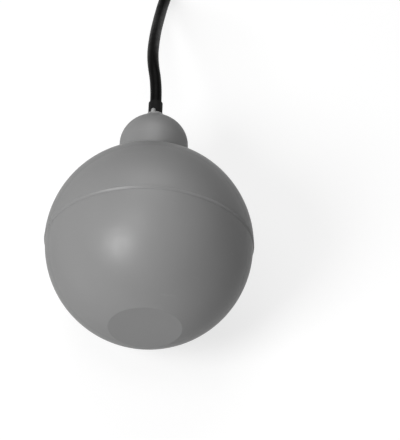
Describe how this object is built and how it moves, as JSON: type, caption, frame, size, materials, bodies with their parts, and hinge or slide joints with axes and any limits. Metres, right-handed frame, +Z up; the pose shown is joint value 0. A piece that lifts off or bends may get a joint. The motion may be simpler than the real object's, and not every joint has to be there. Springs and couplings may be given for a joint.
{
  "type": "float level switch",
  "caption": "Ball-shaped tethered float level switch: a sealed grey float with a seam, a flat pole and a domed neck, on a black flexible cable wound into a coil.",
  "frame": {"origin": "on the surface the switch lies on, under the middle of the float and neck along the float's axis; the free cable and its coil are not counted", "axes": "+Y along the float's axis from the flat pole to the cable neck, +Z up from the surface, +X to the right seen from the flat pole"},
  "size_m": [0.1754, 0.4879, 0.1412],
  "materials": {
    "shell": "matte",
    "sealant": "satin",
    "cable_rubber": "satin",
    "grommet_rubber": "matte",
    "ballast_iron": "matte",
    "plated_steel": "satin",
    "bearing_steel": "polished",
    "spring_steel": "satin",
    "capsule_plastic": "satin",
    "case_plastic": "satin",
    "cover_plastic": "satin",
    "plunger_plastic": "satin",
    "contact_brass": "satin",
    "potting_resin": "gloss",
    "core_black": "satin",
    "core_white": "satin",
    "core_red": "satin",
    "shrink_sleeve": "satin",
    "tie_nylon": "satin"
  },
  "bodies": {
    "float": {"lower_shell": "shell", "upper_shell": "shell", "ballast_ring": "ballast_iron", "cable_grommet": "grommet_rubber", "entry_sealant": "sealant", "thrust_washer": "plated_steel", "crimp_sleeve": "plated_steel", "cable_entry": "cable_rubber", "neck_potting": "potting_resin", "core_sleeves": "shrink_sleeve", "switch_capsule": "capsule_plastic", "capsule_cap": "capsule_plastic", "cap_oring": "grommet_rubber", "switch_base": "case_plastic", "switch_cover": "cover_plastic", "switch_screws": "plated_steel", "lever_pin": "spring_steel", "terminal_common": "contact_brass", "terminal_open": "contact_brass", "terminal_closed": "contact_brass", "core_common": "core_black", "core_closed": "core_red", "core_open": "core_white", "cable_run": "cable_rubber", "cable_coil": "cable_rubber", "cable_tail": "cable_rubber", "coil_ties": "tie_nylon", "lead_black": "core_black", "lead_white": "core_white", "lead_red": "core_red"},
    "rolling_ball": {"steel_ball": "bearing_steel"},
    "lever": {"switch_lever": "spring_steel"},
    "plunger": {"switch_plunger": "plunger_plastic"},
    "contact_blade": {"snap_blade": "contact_brass"}
  },
  "joints": [
    {"name": "ball_roll", "type": "slide", "parent": "float", "child": "rolling_ball", "axis": [0, 1, 0], "range_m": [0, 0.0348]},
    {"name": "lever_press", "type": "hinge", "parent": "float", "child": "lever", "pos_m": [-0.0082, -0.01067, 0.0706], "axis": [0, 0, 1], "range_deg": [0, 5], "stiffness_Nm_per_rad": 0.012, "springref_deg": -2.86},
    {"name": "plunger_travel", "type": "slide", "parent": "float", "child": "plunger", "axis": [0, 1, 0], "range_m": [0, 0.0006]},
    {"name": "blade_snap", "type": "hinge", "parent": "float", "child": "contact_blade", "pos_m": [-0.0076, -0.00627, 0.0706], "axis": [0, 0, 1], "range_deg": [0, 5.8]}
  ],
  "couplings": [
    {"joint": "plunger_travel", "follows": "lever_press", "m_per_rad": 0.0057},
    {"joint": "blade_snap", "follows": "lever_press", "ratio": 1.1176}
  ]
}
